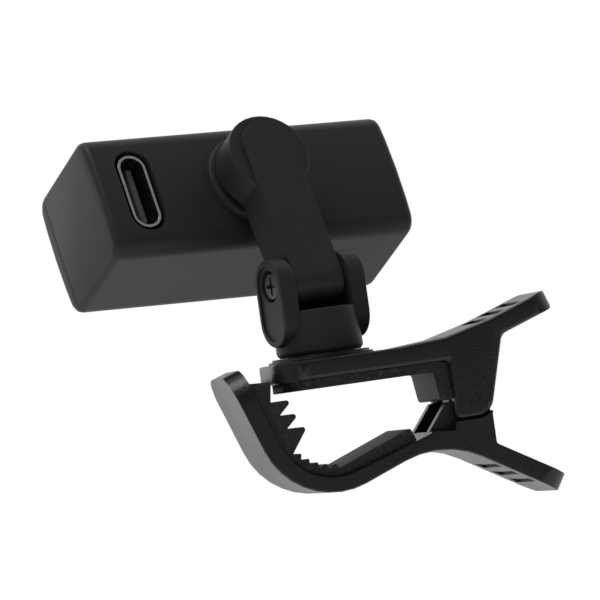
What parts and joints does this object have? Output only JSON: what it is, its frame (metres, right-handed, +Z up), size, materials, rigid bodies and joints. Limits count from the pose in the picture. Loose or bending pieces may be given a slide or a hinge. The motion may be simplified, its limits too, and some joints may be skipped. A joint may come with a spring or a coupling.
{
  "type": "clip-on tuner",
  "caption": "Clip-on instrument tuner: a sprung clip with a toothed hook jaw carries a swivelling, tilting arm and a small bar-shaped display head with a charging port.",
  "frame": {"origin": "on the upper jaw's flat grip face, straight under the swivel axis", "axes": "+X from the jaw tips to the finger handles, +Y to the side the display faces, +Z up along the swivel axis"},
  "size_m": [0.0496, 0.0368, 0.0443],
  "materials": {
    "housing_plastic": "satin",
    "clip_plastic": "fine matte",
    "grip_rubber": "matte",
    "bright_steel": "bright",
    "black_steel": "black",
    "spring_steel": "bright",
    "nylon": "natural",
    "usb_insulator": "matte",
    "lens": "gloss",
    "lcd_glass": "gloss",
    "light_diffuser": "diffusing",
    "board_laminate": "solder mask",
    "chip_epoxy": "matte",
    "battery_foil": "foil",
    "piezo_brass": "satin",
    "button_rubber": "matte"
  },
  "bodies": {
    "upper_clip": {"upper_lever": "clip_plastic", "upper_pad": "grip_rubber", "clip_pin": "bright_steel", "torsion_spring": "spring_steel"},
    "lower_clip": {"lower_lever": "clip_plastic", "lower_pad": "grip_rubber"},
    "fork": {"fork_base": "housing_plastic", "swivel_screw": "bright_steel", "swivel_washer": "nylon", "hinge_screw": "black_steel", "hinge_nut": "black_steel"},
    "arm": {"swivel_arm": "housing_plastic", "spin_screw": "bright_steel", "spin_washer": "nylon"},
    "head": {"rear_housing": "housing_plastic", "front_bezel": "housing_plastic", "display_lens": "lens", "display_mask": "housing_plastic", "lcd_panel": "lcd_glass", "backlight_panel": "light_diffuser", "main_board": "board_laminate", "board_screw_1": "bright_steel", "board_screw_2": "bright_steel", "board_screw_3": "bright_steel", "control_chip": "chip_epoxy", "battery_cell": "battery_foil", "piezo_disc": "piezo_brass", "usb_shell": "bright_steel", "usb_tongue": "usb_insulator", "power_switch": "chip_epoxy", "mode_switch": "chip_epoxy"},
    "power_key": {"power_button": "button_rubber"},
    "mode_key": {"mode_button": "button_rubber"}
  },
  "joints": [
    {"name": "jaw_open", "type": "hinge", "parent": "upper_clip", "child": "lower_clip", "pos_m": [0.0146, 0, -0.0032], "axis": [0, -1, 0], "range_deg": [0, 40], "stiffness_Nm_per_rad": 0.12, "springref_deg": -57.3, "deforming": ["torsion_spring"]},
    {"name": "base_swivel", "type": "hinge", "parent": "upper_clip", "child": "fork", "pos_m": [0, 0, 0.00385], "axis": [0, 0, 1], "continuous": true},
    {"name": "arm_tilt", "type": "hinge", "parent": "fork", "child": "arm", "pos_m": [0, 0, 0.01143], "axis": [0.9489, 0.3156, 0], "range_deg": [-10, 80]},
    {"name": "head_spin", "type": "hinge", "parent": "arm", "child": "head", "pos_m": [-0.00316, 0.00951, 0.02343], "axis": [-0.2842, 0.8543, -0.4352], "range_deg": [-45, 45]},
    {"name": "power_press", "type": "slide", "parent": "head", "child": "power_key", "axis": [0.1042, -0.4237, -0.8998], "range_m": [0, 0.0004], "stiffness_N_per_m": 2500, "springref_m": -0.0003},
    {"name": "mode_press", "type": "slide", "parent": "head", "child": "mode_key", "axis": [0.1042, -0.4237, -0.8998], "range_m": [0, 0.0004], "stiffness_N_per_m": 2500, "springref_m": -0.0003}
  ]
}
